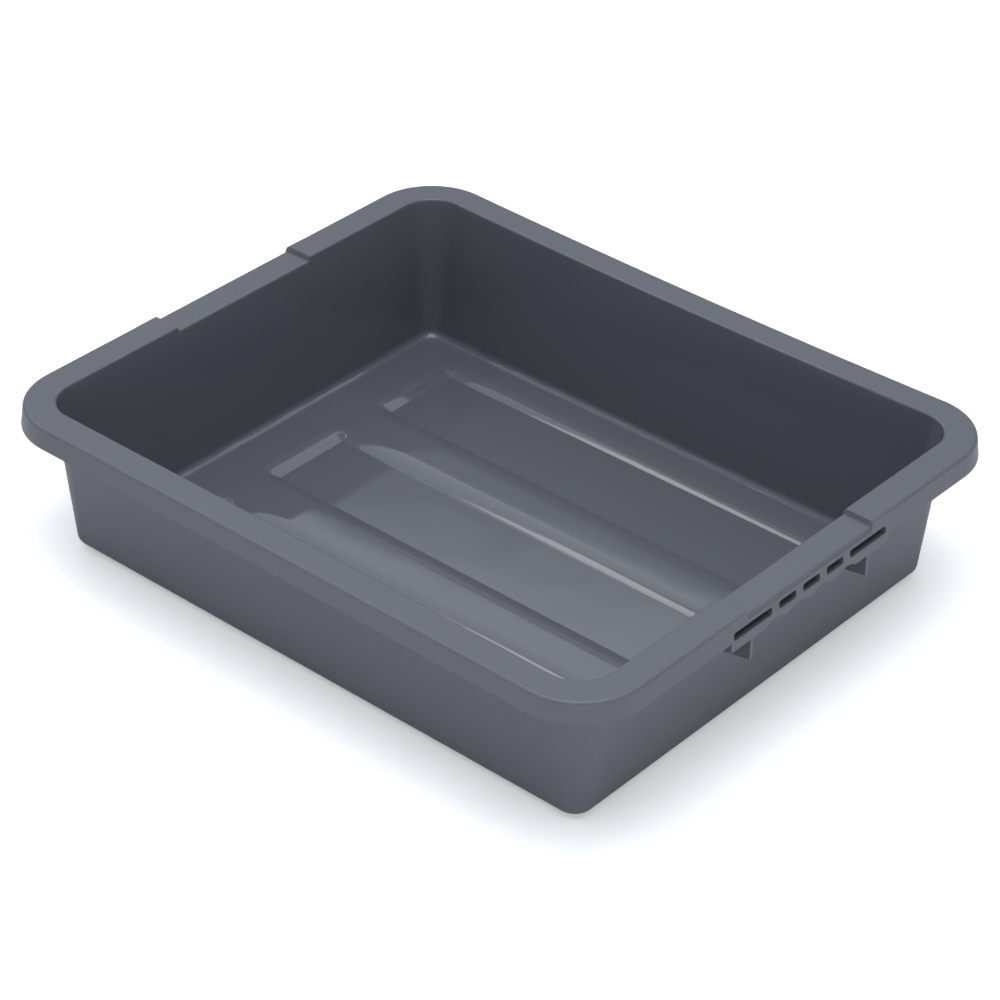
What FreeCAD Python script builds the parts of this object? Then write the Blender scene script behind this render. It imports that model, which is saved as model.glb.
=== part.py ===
import FreeCAD, Part

# Bus tub, one injection-moulded piece, in millimetres.
# The origin is the middle of the footprint, on the surface that the tub stands on.
# X runs along the length, Y across the width and Z up.

import os
from math import radians, sqrt

from FreeCAD import Vector

# Overall size, measured over the foot of the rim's skirt
OVERALL_LENGTH = 550.0
OVERALL_WIDTH = 460.0
OVERALL_HEIGHT = 122.5

# The moulding
WALL = 2.5
RIM_TOP_WIDTH = 23.6
RIM_CORNER_RADIUS = 51.0
RIM_EDGE_RADIUS = 3.0
RIM_LIP_RADIUS = 1.6
SKIRT_DEPTH = 16.0
SKIRT_FLARE = 2.0
FOOT_INSET = 34.2
FOOT_CORNER_RADIUS = 14.0
FOOT_EDGE_RADIUS = 6.5
FLOOR_EDGE_RADIUS = 6.5

# The three sunken panels of the floor, which are also the feet, and the floor left round them
PANEL_DEPTH = 3.5
PANEL_END_MARGIN = 43.6
PANEL_SIDE_MARGIN = 26.6
PANEL_GAP = 36.6
PANEL_SLOPE_RUN = 8.7
PANEL_CORNER_RADIUS = 9.5
PANEL_BROW_RADIUS = 38.0
PANEL_TOE_RADIUS = 3.0

# The two end grips, under the rim at the short ends
GRIP_LENGTH = 172.0
GRIP_DEPTH = 20.0
THUMB_DROP = 3.5
THUMB_LENGTH = 134.0
THUMB_RAMP = 1.2
FINGER_PITCH = 26.0
FINGER_RADIUS = 18.0
FINGER_DEPTH = 3.5
POCKET_HEIGHT = 6.0
POCKET_LENGTH = 18.5
POCKET_DROP = 9.0
POCKET_CORNER_RADIUS = 2.0
FIN_PITCH = 128.0
FIN_THICKNESS = 3.0
FIN_HEIGHT = 14.5
FIN_RISE = 0.17
DIMPLE_RADIUS = 2.4
DIMPLE_DEPTH = 0.7
DIMPLE_INSET = 17.0

# Lengths that follow from the ones above
TOP_LENGTH = OVERALL_LENGTH - 2 * SKIRT_FLARE
TOP_WIDTH = OVERALL_WIDTH - 2 * SKIRT_FLARE
FLOOR_UNDERSIDE = PANEL_DEPTH
FLOOR_TOP = FLOOR_UNDERSIDE + WALL
WALL_TOP_INSET = RIM_TOP_WIDTH - WALL
WALL_TOP_RADIUS = RIM_CORNER_RADIUS - WALL_TOP_INSET
WALL_SLOPE = (FOOT_INSET - WALL_TOP_INSET) / (OVERALL_HEIGHT - FLOOR_UNDERSIDE)
FLOOR_LENGTH = TOP_LENGTH - 2 * (FOOT_INSET + WALL)
FLOOR_WIDTH = TOP_WIDTH - 2 * (FOOT_INSET + WALL)
PANEL_LENGTH = FLOOR_LENGTH - 2 * PANEL_END_MARGIN
PANEL_WIDTH = (FLOOR_WIDTH - 2 * PANEL_SIDE_MARGIN - 2 * PANEL_GAP) / 3
PANEL_PITCH = PANEL_WIDTH + PANEL_GAP
SKIRT_FOOT = OVERALL_HEIGHT - SKIRT_DEPTH
SKIRT_SLOPE = SKIRT_FLARE / SKIRT_DEPTH
THUMB_TOP = OVERALL_HEIGHT - THUMB_DROP
GRIP_FOOT = THUMB_TOP - GRIP_DEPTH
GRIP_INNER = TOP_LENGTH / 2 - FOOT_INSET


def rounded_outline(length, width, radius, z):
    """Closed wire of a rounded rectangle, four quarter arcs and four lines, centred on the Z axis."""
    arcs = []
    for quarter, (sx, sy) in enumerate([(1, 1), (-1, 1), (-1, -1), (1, -1)]):
        centre = Vector(sx * (length / 2 - radius), sy * (width / 2 - radius), z)
        circle = Part.Circle(centre, Vector(0, 0, 1), radius)
        arcs.append(Part.ArcOfCircle(circle, radians(90 * quarter), radians(90 * quarter + 90)))
    edges = [arc.toShape() for arc in arcs]
    for arc, following in zip(arcs, arcs[1:] + arcs[:1]):
        edges.append(Part.LineSegment(arc.EndPoint, following.StartPoint).toShape())
    return Part.Wire(Part.__sortEdges__(edges))


def tapered_solid(lower, upper):
    """Solid between two rounded rectangles, each given as (length, width, radius, z)."""
    wires = [rounded_outline(*lower), rounded_outline(*upper)]
    return Part.makeLoft(wires, True, True)


def level_edges(shape, z, half_length=OVERALL_LENGTH, half_width=OVERALL_WIDTH):
    """Edges of a shape that lie at height z, within half_length and half_width of the Z axis."""
    found = []
    for edge in shape.Edges:
        box = edge.BoundBox
        level = abs(box.ZMin - z) < 0.05 and abs(box.ZMax - z) < 0.05
        near = max(-box.XMin, box.XMax) < half_length and max(-box.YMin, box.YMax) < half_width
        if level and near:
            found.append(edge)
    return found


def mirrored(solid, side):
    """The solid itself for the +X end, and its mirror image for the -X end."""
    return solid if side > 0 else solid.mirror(Vector(0, 0, 0), Vector(1, 0, 0))


def wall_section(z, offset):
    """The outline of the tub wall at height z, moved inward by offset."""
    inset = WALL_TOP_INSET + (OVERALL_HEIGHT - z) * WALL_SLOPE + offset
    share = (z - FLOOR_UNDERSIDE) / (OVERALL_HEIGHT - FLOOR_UNDERSIDE)
    radius = FOOT_CORNER_RADIUS + (WALL_TOP_RADIUS - FOOT_CORNER_RADIUS) * share - offset
    return (TOP_LENGTH - 2 * inset, TOP_WIDTH - 2 * inset, radius, z)


def skirt_section(z, offset):
    """The outline of the rim's outer face at height z, moved inward by offset."""
    flare = (OVERALL_HEIGHT - z) * SKIRT_SLOPE - offset
    return (TOP_LENGTH + 2 * flare, TOP_WIDTH + 2 * flare, RIM_CORNER_RADIUS + flare, z)


def tub_outside():
    """The tub without its hollow, below the rim, with its foot edge rounded."""
    body = tapered_solid(wall_section(FLOOR_UNDERSIDE, 0), wall_section(OVERALL_HEIGHT - WALL / 2, 0))
    return body.makeFillet(FOOT_EDGE_RADIUS, level_edges(body, FLOOR_UNDERSIDE))


def tub_inside():
    """The hollow of the tub, with its floor edge rounded, run on above the rim."""
    space = tapered_solid(wall_section(FLOOR_TOP, WALL), wall_section(OVERALL_HEIGHT + 6, WALL))
    return space.makeFillet(FLOOR_EDGE_RADIUS, level_edges(space, FLOOR_TOP))


def rim():
    """The flat rim with its skirt, hollow below, its outer top edge rounded."""
    outside = tapered_solid(skirt_section(SKIRT_FOOT, 0), skirt_section(OVERALL_HEIGHT, 0))
    outside = outside.makeFillet(RIM_EDGE_RADIUS, level_edges(outside, OVERALL_HEIGHT))
    hollow_top = OVERALL_HEIGHT - WALL
    hollow = tapered_solid(skirt_section(SKIRT_FOOT - 1, WALL), skirt_section(hollow_top, WALL))
    return outside.cut(hollow)


def panel(lift, grow):
    """The sunken space of a floor panel with sloped sides, moved up by lift, its sides run on by grow."""
    low_z = FLOOR_TOP - PANEL_DEPTH
    run = PANEL_SLOPE_RUN * (1 + grow / PANEL_DEPTH)
    length = PANEL_LENGTH - 2 * PANEL_SLOPE_RUN
    width = PANEL_WIDTH - 2 * PANEL_SLOPE_RUN
    radius = PANEL_CORNER_RADIUS - PANEL_SLOPE_RUN
    lower = (length, width, radius, low_z)
    upper = (length + 2 * run, width + 2 * run, radius + run, FLOOR_TOP + grow)
    space = tapered_solid(lower, upper)
    space = space.makeFillet(PANEL_TOE_RADIUS, level_edges(space, low_z))
    return space.translated(Vector(0, 0, lift))


def box(x0, x1, y0, y1, z0, z1):
    return Part.makeBox(x1 - x0, y1 - y0, z1 - z0, Vector(x0, y0, z0))


def skirt_envelope():
    """All that lies inside the skirt's outer face, which runs straight down below the skirt."""
    foot = skirt_section(SKIRT_FOOT, 0)
    straight = tapered_solid(foot[:3] + (GRIP_FOOT - FIN_HEIGHT - 10,), foot)
    return straight.fuse(tapered_solid(foot, skirt_section(OVERALL_HEIGHT, 0)))


def grip():
    """The grip under the rim's +X end, with its finger grooves and its two fins."""
    envelope = skirt_envelope()
    half = GRIP_LENGTH / 2
    block = box(GRIP_INNER, OVERALL_LENGTH / 2 + 5, -half, half, GRIP_FOOT, OVERALL_HEIGHT - WALL / 2)
    for place in (-1.5, -0.5, 0.5, 1.5):
        centre = Vector(GRIP_INNER - 5, place * FINGER_PITCH, GRIP_FOOT + FINGER_DEPTH - FINGER_RADIUS)
        block = block.cut(Part.makeCylinder(FINGER_RADIUS, 60, centre, Vector(1, 0, 0)))
    for y in (-FIN_PITCH / 2, FIN_PITCH / 2):
        block = block.fuse(fin(y))
    return block.common(envelope)


def fin(y):
    """A thin upright plate below the grip, whose lower edge rises outward."""
    outer = OVERALL_LENGTH / 2 + 5
    low = GRIP_FOOT - FIN_HEIGHT - FIN_RISE * 5
    inner_low = low - FIN_RISE * (outer - GRIP_INNER)
    top = GRIP_FOOT + 1
    corners = [(GRIP_INNER, top), (outer, top), (outer, low), (GRIP_INNER, inner_low), (GRIP_INNER, top)]
    outline = Part.makePolygon([Vector(x, y - FIN_THICKNESS / 2, z) for x, z in corners])
    return Part.Face(outline).extrude(Vector(0, FIN_THICKNESS, 0))


def pocket_spans():
    """Y spans of the pockets in the grip's outer face, three short ones between two long ones."""
    half = POCKET_LENGTH / 2
    spans = [(k * FINGER_PITCH - half, k * FINGER_PITCH + half) for k in (-1, 0, 1)]
    start = 2 * FINGER_PITCH - half
    end = GRIP_LENGTH / 2 - WALL
    return [(-end, -start)] + spans + [(start, end)]


def pocket(y0, y1):
    """One round-cornered pocket that runs in from the grip's outer face to the tub's wall."""
    middle = THUMB_TOP - POCKET_DROP
    inner = wall_section(middle, 0)[0] / 2 + 0.5
    outer = OVERALL_LENGTH / 2 + 5
    tool = box(inner, outer, y0, y1, middle - POCKET_HEIGHT / 2, middle + POCKET_HEIGHT / 2)
    along = [edge for edge in tool.Edges if edge.BoundBox.XLength > 10]
    return tool.makeFillet(POCKET_CORNER_RADIUS, along)


def thumb_step():
    """What the step over the +X grip takes off the rim, leaving both edges round at the lower level."""
    x_out = TOP_LENGTH / 2 + THUMB_DROP * SKIRT_SLOPE
    x_in = TOP_LENGTH / 2 - RIM_TOP_WIDTH - THUMB_DROP * WALL_SLOPE
    z = THUMB_TOP
    high = OVERALL_HEIGHT + 8
    outer = Vector(x_out, 0, z - RIM_EDGE_RADIUS)
    outer_top = Vector(x_out - RIM_EDGE_RADIUS, 0, z)
    inner_top = Vector(x_in + RIM_LIP_RADIUS, 0, z)
    inner = Vector(x_in, 0, z - RIM_LIP_RADIUS)
    diagonal = sqrt(0.5)
    outer_mid = Vector(outer_top.x + RIM_EDGE_RADIUS * diagonal, 0, outer.z + RIM_EDGE_RADIUS * diagonal)
    inner_mid = Vector(inner_top.x - RIM_LIP_RADIUS * diagonal, 0, inner.z + RIM_LIP_RADIUS * diagonal)
    edges = [Part.Arc(outer, outer_mid, outer_top).toShape()]
    edges.append(Part.LineSegment(outer_top, inner_top).toShape())
    edges.append(Part.Arc(inner_top, inner_mid, inner).toShape())
    around = [inner, Vector(x_in - 8, 0, inner.z), Vector(x_in - 8, 0, high)]
    around += [Vector(x_out + 8, 0, high), Vector(x_out + 8, 0, outer.z), outer]
    for a, b in zip(around[:-1], around[1:]):
        edges.append(Part.LineSegment(a, b).toShape())
    profile = Part.Face(Part.Wire(Part.__sortEdges__(edges)))
    bar = profile.extrude(Vector(0, THUMB_LENGTH + 40, 0)).translated(Vector(0, -THUMB_LENGTH / 2 - 20, 0))
    low = inner.z - 2
    half = THUMB_LENGTH / 2
    spread = (high - low) / THUMB_DROP * THUMB_RAMP
    ends = [Vector(0, -half, low), Vector(0, half, low), Vector(0, half + spread, high)]
    ends += [Vector(0, -half - spread, high), Vector(0, -half, low)]
    return bar.common(Part.Face(Part.makePolygon(ends)).extrude(Vector(OVERALL_LENGTH, 0, 0)))


def dimple():
    """The small round dimple in the middle of the +X grip's top."""
    ball = (DIMPLE_RADIUS ** 2 + DIMPLE_DEPTH ** 2) / (2 * DIMPLE_DEPTH)
    return Part.makeSphere(ball, Vector(TOP_LENGTH / 2 - DIMPLE_INSET, 0, THUMB_TOP + ball - DIMPLE_DEPTH))


def tub():
    """The whole moulding."""
    rows = [Vector(0, k * PANEL_PITCH, 0) for k in (-1, 0, 1)]
    body = tub_outside().fuse(rim())
    for row in rows:
        body = body.fuse(panel(-WALL, WALL).translated(row))
    for side in (-1, 1):
        body = body.fuse(mirrored(grip(), side))
    body = body.cut(tub_inside())
    mouth = (TOP_LENGTH / 2 - RIM_TOP_WIDTH + 1, TOP_WIDTH / 2 - RIM_TOP_WIDTH + 1)
    body = body.makeFillet(RIM_LIP_RADIUS, level_edges(body, OVERALL_HEIGHT, *mouth))
    for row in rows:
        body = body.cut(panel(0, 1).translated(row))
    panels = (PANEL_LENGTH / 2 + 1, PANEL_PITCH + PANEL_WIDTH / 2 + 1)
    body = body.makeFillet(PANEL_BROW_RADIUS, level_edges(body, FLOOR_TOP, *panels))
    for side in (-1, 1):
        for y0, y1 in pocket_spans():
            body = body.cut(mirrored(pocket(y0, y1), side))
        body = body.cut(mirrored(thumb_step(), side))
        body = body.cut(mirrored(dimple(), side))
    return body.Solids[0] if len(body.Solids) == 1 else body


shape = tub()
print("solids", len(shape.Solids), "valid", shape.isValid(), "volume cm3", round(shape.Volume / 1000, 1))
os.makedirs("parts", exist_ok=True)
shape.exportStep("parts/tub.step")
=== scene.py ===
# %% [markdown]
# # A bus tub, moulded in grey plastic
#
# A bus tub is the shallow box that a kitchen or a dining room carries its dishes in. It is one injection
# moulding: four walls that lean out, so that tubs nest, a wide flat rim with a turned-down skirt that keeps
# it stiff, a floor with three sunken panels that the tub stands on, and a finger grip at each end.
#
# The solid shape is already made. This lesson gives it what a solid lacks: smooth shading that keeps the
# flat faces flat, the slight bow that a long moulded side takes on as it cools, a plastic with grain, gloss
# and scuffs, and the light of a plain studio.

import math

import bmesh
import bpy
from mathutils import Matrix, Vector


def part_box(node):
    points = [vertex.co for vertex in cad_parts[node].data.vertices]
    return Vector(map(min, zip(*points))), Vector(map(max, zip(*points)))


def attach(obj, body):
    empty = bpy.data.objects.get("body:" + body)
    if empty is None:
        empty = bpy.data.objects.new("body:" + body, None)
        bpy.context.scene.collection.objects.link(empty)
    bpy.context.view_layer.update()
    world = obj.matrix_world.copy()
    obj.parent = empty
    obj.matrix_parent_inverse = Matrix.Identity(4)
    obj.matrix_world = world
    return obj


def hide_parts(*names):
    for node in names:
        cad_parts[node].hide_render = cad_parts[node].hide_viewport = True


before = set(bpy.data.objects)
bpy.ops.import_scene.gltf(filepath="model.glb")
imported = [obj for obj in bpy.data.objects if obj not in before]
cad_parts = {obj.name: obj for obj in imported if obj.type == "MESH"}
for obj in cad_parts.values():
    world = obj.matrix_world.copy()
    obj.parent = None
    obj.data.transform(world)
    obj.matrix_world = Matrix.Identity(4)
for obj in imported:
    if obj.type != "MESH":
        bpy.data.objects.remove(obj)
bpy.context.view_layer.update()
solid_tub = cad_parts["tub"]
tub_low, tub_high = [Vector(corner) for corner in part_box("tub")]
LENGTH, WIDTH, HEIGHT = tub_high - tub_low
print(f"the solid tub is {LENGTH:.3f} x {WIDTH:.3f} x {HEIGHT:.4f} m")
print("it has", len(solid_tub.data.polygons), "triangles")

# %% [markdown]
# ## A skin that can bend
#
# The solid's mesh is loose triangles, and its flat faces have no points in their middle. Such a mesh can't
# be shaded smoothly, because neighbours share no points, and it can't be bent, because there is nothing to
# move.
#
# A remesh would give points everywhere, but it would round off the crisp slots of the grips. So the skin is
# a copy whose doubled points are merged. Triangles that lie in one plane are joined to one face, because a
# small triangle beside a large round would take on the round's shading. Then the copy is cut across its
# length into slices. The cuts add points along the long sides, and leave every surface where it was.

# %% Copy, merge and slice
MERGE_DISTANCE = 1e-6
FLAT_ANGLE = math.radians(0.05)
SLICES = 22


def sliced_copy(source, slices):
    """A copy of a mesh with whole flat faces, cut into slices across its length."""
    skin = bmesh.new()
    skin.from_mesh(source)
    bmesh.ops.remove_doubles(skin, verts=skin.verts, dist=MERGE_DISTANCE)
    bmesh.ops.dissolve_limit(skin, angle_limit=FLAT_ANGLE, verts=skin.verts[:], edges=skin.edges[:])
    for k in range(1, slices):
        place = Vector((tub_low.x + LENGTH * k / slices, 0, 0))
        everything = skin.verts[:] + skin.edges[:] + skin.faces[:]
        bmesh.ops.bisect_plane(
            skin, geom=everything, plane_co=place, plane_no=Vector((1, 0, 0)), dist=MERGE_DISTANCE)
    mesh = bpy.data.meshes.new("bus_tub")
    skin.to_mesh(mesh)
    skin.free()
    return mesh


skin_mesh = sliced_copy(solid_tub.data, SLICES)
skin_mesh.materials.clear()
print(f"the skin has {len(skin_mesh.vertices)} points and {len(skin_mesh.polygons)} faces")

# %% [markdown]
# ## Helpers for node trees
#
# The plastic, the room and the two Geometry Nodes trees are all built here, node by node. A few short
# helpers make a node, a noise pattern, a change of range and one step of arithmetic, so that each tree
# reads as what it works out.

# %% Node helpers
def add_node(tree, kind, **settings):
    """A new node with its properties set."""
    node = tree.nodes.new(kind)
    for name, value in settings.items():
        setattr(node, name, value)
    return node


def noise(tree, coordinates, scale, detail=2.0, roughness=0.5, stretch=(1, 1, 1), turn=(0, 0, 0)):
    """A noise pattern's value, with `scale` features per metre, stretched and turned."""
    mapping = add_node(tree, "ShaderNodeMapping")
    mapping.inputs["Scale"].default_value = stretch
    mapping.inputs["Rotation"].default_value = turn
    tree.links.new(coordinates, mapping.inputs["Vector"])
    pattern = add_node(tree, "ShaderNodeTexNoise")
    pattern.inputs["Scale"].default_value = scale
    pattern.inputs["Detail"].default_value = detail
    pattern.inputs["Roughness"].default_value = roughness
    tree.links.new(mapping.outputs["Vector"], pattern.inputs["Vector"])
    return pattern.outputs["Fac"]


def remap(tree, value, low, high, to_low, to_high):
    """A value moved from one range to another, and held inside it."""
    node = add_node(tree, "ShaderNodeMapRange")
    for socket, number in zip(("From Min", "From Max", "To Min", "To Max"), (low, high, to_low, to_high)):
        node.inputs[socket].default_value = number
    tree.links.new(value, node.inputs["Value"])
    return node.outputs["Result"]


def arithmetic(tree, operation, first, second):
    """One Math node on two values, each a socket or a number."""
    node = add_node(tree, "ShaderNodeMath", operation=operation)
    for socket, value in zip(node.inputs, (first, second)):
        if isinstance(value, (int, float)):
            socket.default_value = value
        else:
            tree.links.new(value, socket)
    return node.outputs[0]


# %% [markdown]
# ## The plastic
#
# The tub is polypropylene or polyethylene coloured through, in a cool dark grey. Three things make it look
# moulded and not painted: the mould's fine grain, which softens every reflection; a slow waviness where
# thick and thin stretches shrank unequally, which bends long reflections; and scuffs from use, which are
# dull streaks and hardly another colour.
#
# All three are procedural and read Object coordinates, so they stay on the tub and need no unwrapping. The
# grain and the waviness are one bump chain. The scuffs move the roughness, and the colour only a little.

# %% The grey plastic
PLASTIC_GREY = (0.107, 0.109, 0.127, 1)
PLASTIC_GREY_WORN = (0.119, 0.121, 0.139, 1)
PLASTIC_IOR = 1.49
SATIN_ROUGHNESS = 0.42
GLOSS_ROUGHNESS = 0.06

SCUFF_PATCHES = 9
SCUFF_PATCH_RANGE = (0.35, 0.75)
SCUFF_STREAKS = 26
SCUFF_STREAK_RANGE = (0.4, 0.9)
SCUFF_STRETCH = (0.35, 2.6, 1.2)
SCUFF_TURN = (0, 0, 0.5)
SCUFF_ROUGHNESS = 0.10
SCUFF_TINT = 0.4

WAVES = 13
WAVE_DEPTH = 0.0003
WAVE_STRENGTH = 0.5
GRAINS = 700
GRAIN_DEPTH = 0.00004
SATIN_GRAIN = 0.8
GLOSS_GRAIN = 0.1


def grey_plastic():
    """Moulded grey plastic: satin outside, polished inside, with grain, slow waviness and scuffs."""
    material = bpy.data.materials.new("moulded_grey_plastic")
    material.use_nodes = True
    tree = material.node_tree
    shader = tree.nodes["Principled BSDF"]
    shader.inputs["IOR"].default_value = PLASTIC_IOR
    place = add_node(tree, "ShaderNodeTexCoord").outputs["Object"]
    polish = add_node(tree, "ShaderNodeAttribute", attribute_name="polish").outputs["Fac"]

    cloud = noise(tree, place, SCUFF_PATCHES, detail=3)
    streaks = noise(
        tree, place, SCUFF_STREAKS, detail=5, roughness=0.6, stretch=SCUFF_STRETCH, turn=SCUFF_TURN)
    patches = remap(tree, cloud, *SCUFF_PATCH_RANGE, 0, 1)
    scuffs = arithmetic(tree, "MULTIPLY", patches, remap(tree, streaks, *SCUFF_STREAK_RANGE, 0, 1))

    tint = add_node(tree, "ShaderNodeMix", data_type="RGBA")
    tint.inputs["A"].default_value = PLASTIC_GREY
    tint.inputs["B"].default_value = PLASTIC_GREY_WORN
    tree.links.new(arithmetic(tree, "MULTIPLY", scuffs, SCUFF_TINT), tint.inputs["Factor"])
    tree.links.new(tint.outputs["Result"], shader.inputs["Base Color"])

    finish = remap(tree, polish, 0, 1, SATIN_ROUGHNESS, GLOSS_ROUGHNESS)
    worn = arithmetic(tree, "MULTIPLY", scuffs, SCUFF_ROUGHNESS)
    tree.links.new(arithmetic(tree, "ADD", finish, worn), shader.inputs["Roughness"])

    wave = add_node(tree, "ShaderNodeBump")
    wave.inputs["Distance"].default_value = WAVE_DEPTH
    wave.inputs["Strength"].default_value = WAVE_STRENGTH
    tree.links.new(noise(tree, place, WAVES, detail=1), wave.inputs["Height"])
    grain = add_node(tree, "ShaderNodeBump")
    grain.inputs["Distance"].default_value = GRAIN_DEPTH
    tree.links.new(remap(tree, polish, 0, 1, SATIN_GRAIN, GLOSS_GRAIN), grain.inputs["Strength"])
    tree.links.new(noise(tree, place, GRAINS, detail=2), grain.inputs["Height"])
    tree.links.new(wave.outputs["Normal"], grain.inputs["Normal"])
    tree.links.new(grain.outputs["Normal"], shader.inputs["Normal"])
    return material


plastic = grey_plastic()
print("plastic:", len(plastic.node_tree.nodes), "nodes")

# %% [markdown]
# ## The bow of the long sides
#
# A moulded box shrinks as it cools, and its long sides pull in a little at the middle and sag, while its
# corners hold. On a tub this long it is about two millimetres, and it shows as a rim that isn't quite
# straight.
#
# It follows a rule, so Geometry Nodes do it: each point of a long side moves in and down by an amount that
# is greatest half way along, and fades to nothing at the corners, at the floor and towards the middle of
# the tub. The same tree marks the edges that stay crisp, by the angle between their faces.

# %% A tree that bows the sides
BOW = 0.0020
SAG = 0.0013
CRISP_ANGLE = math.radians(28)
HELD_END = 0.050
BOW_START = 0.145
BOW_FULL = 0.190


def bow_tree():
    """Geometry Nodes that bow and sag the long sides and mark the crisp edges."""
    tree = bpy.data.node_groups.new("bow_long_sides", "GeometryNodeTree")
    tree.interface.new_socket("Geometry", in_out="INPUT", socket_type="NodeSocketGeometry")
    for name in ("Bow", "Sag", "Held half length", "Bow start", "Bow full", "Rim height", "Crisp angle"):
        tree.interface.new_socket(name, in_out="INPUT", socket_type="NodeSocketFloat")
    tree.interface.new_socket("Plastic", in_out="INPUT", socket_type="NodeSocketMaterial")
    tree.interface.new_socket("Geometry", in_out="OUTPUT", socket_type="NodeSocketGeometry")
    given = add_node(tree, "NodeGroupInput").outputs
    link = tree.links.new

    place = add_node(tree, "ShaderNodeSeparateXYZ")
    link(add_node(tree, "GeometryNodeInputPosition").outputs[0], place.inputs[0])
    share = arithmetic(tree, "DIVIDE", place.outputs["X"], given["Held half length"])
    lost = arithmetic(tree, "POWER", arithmetic(tree, "ABSOLUTE", share, 0), 2)
    along = arithmetic(tree, "MAXIMUM", arithmetic(tree, "SUBTRACT", 1, lost), 0)
    outward = add_node(tree, "ShaderNodeMapRange", interpolation_type="SMOOTHSTEP")
    link(arithmetic(tree, "ABSOLUTE", place.outputs["Y"], 0), outward.inputs["Value"])
    link(given["Bow start"], outward.inputs["From Min"])
    link(given["Bow full"], outward.inputs["From Max"])
    upward = arithmetic(tree, "DIVIDE", place.outputs["Z"], given["Rim height"])
    level = arithmetic(tree, "MULTIPLY", along, outward.outputs["Result"])
    amount = arithmetic(tree, "MULTIPLY", level, upward)
    side = arithmetic(tree, "SIGN", place.outputs["Y"], 0)
    shift = add_node(tree, "ShaderNodeCombineXYZ")
    inward = arithmetic(tree, "MULTIPLY", arithmetic(tree, "MULTIPLY", amount, side), given["Bow"])
    link(arithmetic(tree, "MULTIPLY", inward, -1), shift.inputs["Y"])
    drop = arithmetic(tree, "MULTIPLY", amount, given["Sag"])
    link(arithmetic(tree, "MULTIPLY", drop, -1), shift.inputs["Z"])
    moved = add_node(tree, "GeometryNodeSetPosition")
    link(given["Geometry"], moved.inputs["Geometry"])
    link(shift.outputs[0], moved.inputs["Offset"])

    smooth = add_node(tree, "GeometryNodeSetShadeSmooth", domain="FACE")
    link(moved.outputs[0], smooth.inputs["Geometry"])
    crisp = add_node(tree, "GeometryNodeSetShadeSmooth", domain="EDGE")
    crisp.inputs["Shade Smooth"].default_value = False
    sharp = add_node(tree, "FunctionNodeCompare", operation="GREATER_THAN")
    link(add_node(tree, "GeometryNodeInputMeshEdgeAngle").outputs["Unsigned Angle"], sharp.inputs["A"])
    link(given["Crisp angle"], sharp.inputs["B"])
    link(smooth.outputs[0], crisp.inputs["Geometry"])
    link(sharp.outputs[0], crisp.inputs["Selection"])

    real = add_node(tree, "GeometryNodeRealizeInstances")
    finish = add_node(tree, "GeometryNodeSetMaterial")
    link(crisp.outputs[0], real.inputs[0])
    link(real.outputs[0], finish.inputs["Geometry"])
    link(given["Plastic"], finish.inputs["Material"])
    link(finish.outputs[0], add_node(tree, "NodeGroupOutput").inputs[0])
    return tree


# %% [markdown]
# ## Polished inside, satin outside
#
# The half of the mould that shapes the inside is polished, so that food comes off easily, and the half that
# shapes the outside and the rim is textured, so that scratches don't show. The plastic has one colour and
# two finishes.
#
# Two materials would need a list of faces. Instead a second tree writes a number, `polish`, on every face,
# by a rule: a face is polished if it lies within the mouth and looks at the middle of the tub, or if it is
# part of the floor. The plastic reads that number for its roughness and its grain.

# %% A tree that marks the polished faces
RIM_WIDTH = 0.0250
FLOOR_HEIGHT = 0.030
LOOKS_INWARD = -0.001
NOT_DOWNWARD = -0.02
FLOOR_SLOPE = 0.3


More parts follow.
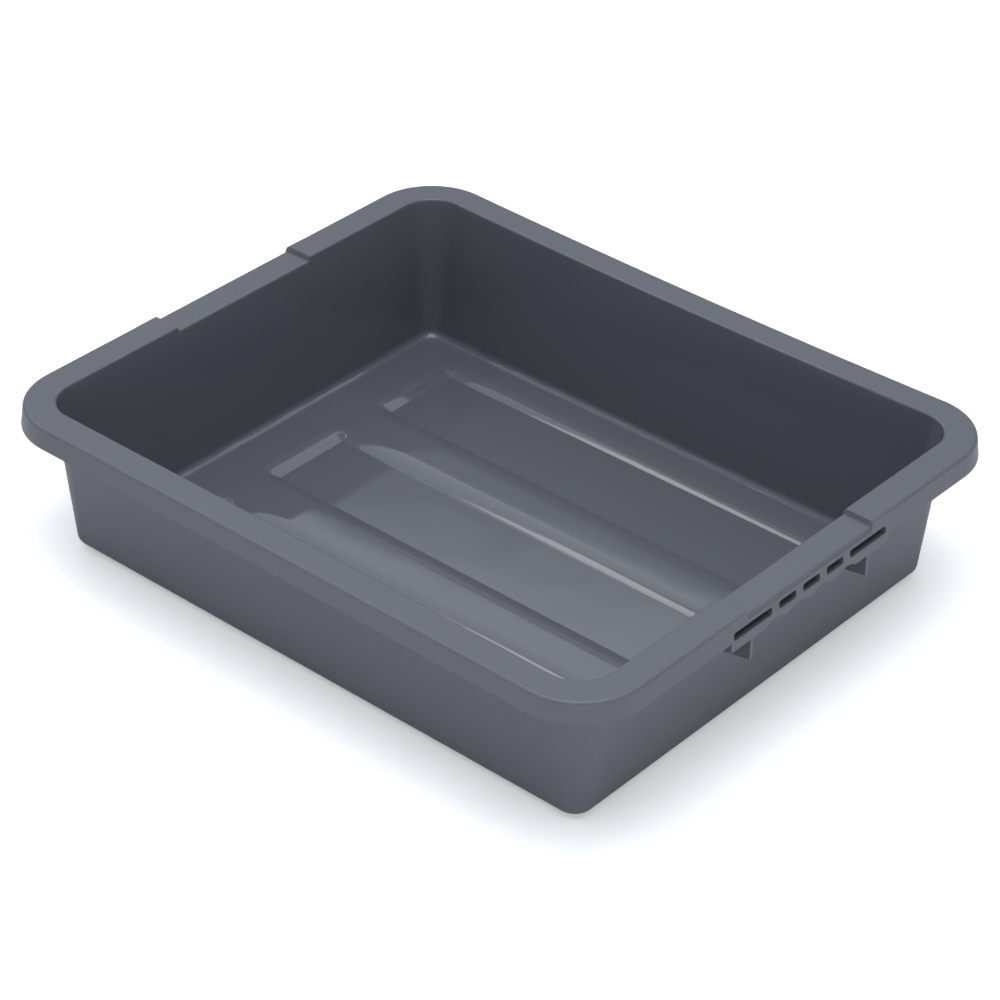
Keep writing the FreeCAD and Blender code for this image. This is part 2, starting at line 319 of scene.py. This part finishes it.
def polish_tree():
    """Geometry Nodes that store `polish`, 1 on the inside's faces and 0 elsewhere."""
    tree = bpy.data.node_groups.new("mark_polish", "GeometryNodeTree")
    tree.interface.new_socket("Geometry", in_out="INPUT", socket_type="NodeSocketGeometry")
    for name in ("Mouth half length", "Mouth half width", "Floor height"):
        tree.interface.new_socket(name, in_out="INPUT", socket_type="NodeSocketFloat")
    tree.interface.new_socket("Plastic", in_out="INPUT", socket_type="NodeSocketMaterial")
    tree.interface.new_socket("Geometry", in_out="OUTPUT", socket_type="NodeSocketGeometry")
    given = add_node(tree, "NodeGroupInput").outputs
    link = tree.links.new

    place = add_node(tree, "ShaderNodeSeparateXYZ")
    link(add_node(tree, "GeometryNodeInputPosition").outputs[0], place.inputs[0])
    facing = add_node(tree, "ShaderNodeSeparateXYZ")
    link(add_node(tree, "GeometryNodeInputNormal").outputs[0], facing.inputs[0])
    across = arithmetic(tree, "MULTIPLY", place.outputs["X"], facing.outputs["X"])
    deep = arithmetic(tree, "MULTIPLY", place.outputs["Y"], facing.outputs["Y"])
    looks_in = arithmetic(tree, "LESS_THAN", arithmetic(tree, "ADD", across, deep), LOOKS_INWARD)
    looks_up = arithmetic(tree, "GREATER_THAN", facing.outputs["Z"], NOT_DOWNWARD)
    from_middle_x = arithmetic(tree, "ABSOLUTE", place.outputs["X"], 0)
    from_middle_y = arithmetic(tree, "ABSOLUTE", place.outputs["Y"], 0)
    in_length = arithmetic(tree, "LESS_THAN", from_middle_x, given["Mouth half length"])
    in_width = arithmetic(tree, "LESS_THAN", from_middle_y, given["Mouth half width"])
    in_mouth = arithmetic(tree, "MULTIPLY", in_length, in_width)
    wall = arithmetic(tree, "MULTIPLY", arithmetic(tree, "MULTIPLY", looks_in, looks_up), in_mouth)
    level = arithmetic(tree, "GREATER_THAN", facing.outputs["Z"], FLOOR_SLOPE)
    low = arithmetic(tree, "LESS_THAN", place.outputs["Z"], given["Floor height"])
    base = arithmetic(tree, "MULTIPLY", level, low)

    store = add_node(tree, "GeometryNodeStoreNamedAttribute", data_type="FLOAT", domain="FACE")
    store.inputs["Name"].default_value = "polish"
    link(given["Geometry"], store.inputs["Geometry"])
    link(arithmetic(tree, "MAXIMUM", wall, base), store.inputs["Value"])
    real = add_node(tree, "GeometryNodeRealizeInstances")
    finish = add_node(tree, "GeometryNodeSetMaterial")
    link(store.outputs[0], real.inputs[0])
    link(real.outputs[0], finish.inputs["Geometry"])
    link(given["Plastic"], finish.inputs["Material"])
    link(finish.outputs[0], add_node(tree, "NodeGroupOutput").inputs[0])
    return tree


# %% [markdown]
# ## One finished piece
#
# The skin now gets both trees, one after the other, each with its values. Last come weighted normals: every
# point takes its shading mostly from the largest face beside it, so flat faces look flat up to their
# rounds.
#
# The result is turned to a plain mesh, the piece is hung on the root body, and the solid tub, which it
# stands for, is hidden.

# %% Bow the skin and make it a plain mesh
def set_inputs(modifier, values):
    """Gives a Geometry Nodes modifier its values, by the identifiers of its named inputs."""
    for item in modifier.node_group.interface.items_tree:
        if item.item_type == "SOCKET" and item.in_out == "INPUT" and item.name in values:
            modifier[item.identifier] = values[item.name]


def plain_mesh(piece, name):
    """The evaluated mesh of a piece, in place of its own mesh and modifiers."""
    bpy.context.view_layer.update()
    graph = bpy.context.evaluated_depsgraph_get()
    seen = piece.evaluated_get(graph)
    mesh = bpy.data.meshes.new_from_object(seen, preserve_all_data_layers=True, depsgraph=graph)
    mesh.name = name
    piece.modifiers.clear()
    piece.data = mesh
    return piece


bus_tub = bpy.data.objects.new("bus_tub", skin_mesh)
bpy.context.scene.collection.objects.link(bus_tub)
bow = bus_tub.modifiers.new("bow", "NODES")
bow.node_group = bow_tree()
set_inputs(bow, {
    "Bow": BOW,
    "Sag": SAG,
    "Held half length": LENGTH / 2 - HELD_END,
    "Bow start": BOW_START,
    "Bow full": BOW_FULL,
    "Rim height": HEIGHT,
    "Crisp angle": CRISP_ANGLE,
    "Plastic": plastic,
})
finishes = bus_tub.modifiers.new("finishes", "NODES")
finishes.node_group = polish_tree()
set_inputs(finishes, {
    "Mouth half length": LENGTH / 2 - RIM_WIDTH,
    "Mouth half width": WIDTH / 2 - RIM_WIDTH,
    "Floor height": FLOOR_HEIGHT,
    "Plastic": plastic,
})
even = bus_tub.modifiers.new("even_normals", "WEIGHTED_NORMAL")
even.mode = "FACE_AREA"
even.keep_sharp = True
plain_mesh(bus_tub, "bus_tub")
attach(bus_tub, "root")
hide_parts("tub")
polished = sum(value.value > 0.5 for value in bus_tub.data.attributes["polish"].data)
print("finished tub:", len(bus_tub.data.polygons), "faces, of which polished", polished)

# %% [markdown]
# ## The ground
#
# The tub stands on plain pale ground, a wide disc of matt white. A little light of its own, which only the
# camera sees, brings it to a clean white without any more light on the tub, and it still takes the tub's
# soft shadow.

# %% The ground
GROUND_WHITE = 0.90
GROUND_LIFT = 0.36
GROUND_RADIUS = 6
GROUND_SIDES = 96


def pale_ground():
    """Matt white ground, a little brighter to the camera than to the tub."""
    material = bpy.data.materials.new("pale_ground")
    material.use_nodes = True
    tree = material.node_tree
    shader = tree.nodes["Principled BSDF"]
    shader.inputs["Base Color"].default_value = (GROUND_WHITE, GROUND_WHITE, GROUND_WHITE, 1)
    shader.inputs["Roughness"].default_value = 0.9
    shader.inputs["Specular IOR Level"].default_value = 0.1
    shader.inputs["Emission Color"].default_value = (1, 1, 1, 1)
    seen = add_node(tree, "ShaderNodeLightPath").outputs["Is Camera Ray"]
    tree.links.new(arithmetic(tree, "MULTIPLY", seen, GROUND_LIFT), shader.inputs["Emission Strength"])
    return material


ground_mesh = bpy.data.meshes.new("ground")
disc = bmesh.new()
bmesh.ops.create_circle(disc, cap_ends=True, segments=GROUND_SIDES, radius=GROUND_RADIUS)
disc.to_mesh(ground_mesh)
disc.free()
ground_mesh.materials.append(pale_ground())
ground = bpy.data.objects.new("ground", ground_mesh)
bpy.context.scene.collection.objects.link(ground)
print("ground: a disc with a radius of", GROUND_RADIUS, "m")

# %% [markdown]
# ## The lamps
#
# Three soft boxes light the tub. The large one overhead lights what looks up, the rim and the floor, and
# leaves the steep inner walls dark. The low one in front lights the outer walls under the rim, and is
# hidden from reflections, because its image would be a white patch in the polished corners. The small
# bright one stands far behind on the left, where the steep back slopes of the panels mirror it as thin
# lines.

# %% The lamps
CAMERA_AZIMUTH = math.radians(40.49)
CAMERA_ELEVATION = math.radians(34.18)
COOL_WHITE = (0.94, 1.0, 1.05)


def from_tub(azimuth, elevation, distance):
    """A place at a distance from the middle of the tub; azimuth 0 is in front, at -Y."""
    flat = math.cos(elevation)
    direction = Vector((math.sin(azimuth) * flat, -math.cos(azimuth) * flat, math.sin(elevation)))
    return direction * distance


def soft_lamp(name, azimuth, elevation, distance, width, height, radiance, tint=(1, 1, 1)):
    """A rectangular soft light that faces the tub, with the brightness that its face shows."""
    lamp = bpy.data.lights.new(name, "AREA")
    lamp.shape = "RECTANGLE"
    lamp.size = width
    lamp.size_y = height
    lamp.energy = radiance * math.pi * width * height
    lamp.color = tint
    holder = bpy.data.objects.new(name, lamp)
    holder.location = from_tub(azimuth, elevation, distance)
    holder.rotation_euler = holder.location.to_track_quat("Z", "Y").to_euler()
    bpy.context.scene.collection.objects.link(holder)
    return holder


overhead_softbox = soft_lamp(
    "overhead_softbox", azimuth=math.radians(40), elevation=math.radians(80), distance=3.0,
    width=2.4, height=2.4, radiance=3.6, tint=COOL_WHITE)
low_softbox = soft_lamp(
    "low_softbox", azimuth=math.radians(58), elevation=math.radians(4.5), distance=3.0,
    width=2.8, height=0.36, radiance=6.0)
low_softbox.visible_glossy = False
back_softbox = soft_lamp(
    "back_softbox", azimuth=math.radians(253), elevation=math.radians(59), distance=15.0,
    width=1.8, height=1.5, radiance=4.6)
print("lamps:", [lamp.name for lamp in (overhead_softbox, low_softbox, back_softbox)])

# %% [markdown]
# ## The room
#
# A glossy plastic is seen by what it reflects. The room is dim, apart from one bright band behind the tub,
# from about a third of the way up to two thirds. The polished floor mirrors the band's lower edge, which
# splits the floor into a dark and a bright part, and the brows of the panels mirror all of it. The edge
# rises to the right, as the top of a tilted screen would. The camera itself sees the room as plain white.

# %% A room with a bright band
ROOM_WHITE = (0.94, 1.0, 1.09, 1)
DIM = 0.34
GLOW = 1.5
ZENITH = 0.40
GLOW_EDGE = math.sin(math.radians(35.05))
GLOW_EDGE_BLUR = 0.004
GLOW_TOP = (math.sin(math.radians(54.0)), math.sin(math.radians(60.0)))
TILT = 0.2
TILT_AZIMUTH = CAMERA_AZIMUTH - math.pi / 2
BACK_AZIMUTH = CAMERA_AZIMUTH + math.pi
BACK_BLUR = 0.2


def level_direction(azimuth):
    """A level unit vector; azimuth 0 points to the front, at -Y."""
    return Vector((math.sin(azimuth), -math.cos(azimuth), 0))


def dot_product(tree, direction, fixed):
    """The dot product of a direction and a fixed vector."""
    node = add_node(tree, "ShaderNodeVectorMath", operation="DOT_PRODUCT")
    tree.links.new(direction, node.inputs[0])
    node.inputs[1].default_value = fixed
    return node.outputs["Value"]


world = bpy.data.worlds.new("studio_room")
bpy.context.scene.world = world
world.use_nodes = True
room = world.node_tree
backdrop = room.nodes["Background"]
backdrop.inputs["Color"].default_value = ROOM_WHITE
direction = add_node(room, "ShaderNodeTexCoord").outputs["Generated"]
height = add_node(room, "ShaderNodeSeparateXYZ")
room.links.new(direction, height.inputs[0])

tilted = dot_product(room, direction, TILT * level_direction(TILT_AZIMUTH) + Vector((0, 0, 1)))
above_edge = remap(room, tilted, GLOW_EDGE - GLOW_EDGE_BLUR, GLOW_EDGE + GLOW_EDGE_BLUR, 0, 1)
toward_back = dot_product(room, direction, level_direction(BACK_AZIMUTH))
glow_here = remap(room, toward_back, -BACK_BLUR, BACK_BLUR, DIM, GLOW)
glow = arithmetic(room, "MAXIMUM", DIM, arithmetic(room, "MULTIPLY", glow_here, above_edge))
fade = remap(room, height.outputs["Z"], *GLOW_TOP, 1, ZENITH / GLOW)
light = arithmetic(room, "MULTIPLY", glow, fade)
seen = add_node(room, "ShaderNodeLightPath").outputs["Is Camera Ray"]
room.links.new(arithmetic(room, "MAXIMUM", light, seen), backdrop.inputs["Strength"])
print("room:", len(room.nodes), "nodes")

# %% [markdown]
# ## The camera
#
# A long lens from well above the rim, turned towards a front corner, shows the inside and two outer faces
# at once, and keeps the long sides nearly parallel. The slight roll is the photographer's.

# %% Place the camera
LENS = 123.46
CAMERA_DISTANCE = 2.40822
CAMERA_ROLL = math.radians(1.07)
CAMERA_AIM = Vector((0.02132, -0.02184, 0.07067))

camera_data = bpy.data.cameras.new("camera")
camera_data.lens = LENS
camera_data.sensor_width = 36
camera = bpy.data.objects.new("camera", camera_data)
back = from_tub(CAMERA_AZIMUTH, CAMERA_ELEVATION, 1)
level = Vector((math.cos(CAMERA_AZIMUTH), math.sin(CAMERA_AZIMUTH), 0))
upright = back.cross(level)
right = level * math.cos(CAMERA_ROLL) + upright * math.sin(CAMERA_ROLL)
up = back.cross(right)
turn = Matrix((right, up, back)).transposed()
camera.matrix_world = Matrix.Translation(CAMERA_AIM + back * CAMERA_DISTANCE) @ turn.to_4x4()
bpy.context.scene.collection.objects.link(camera)
bpy.context.scene.camera = camera
bpy.context.scene.view_settings.view_transform = "Standard"
print("camera at", [round(value, 3) for value in camera.location])
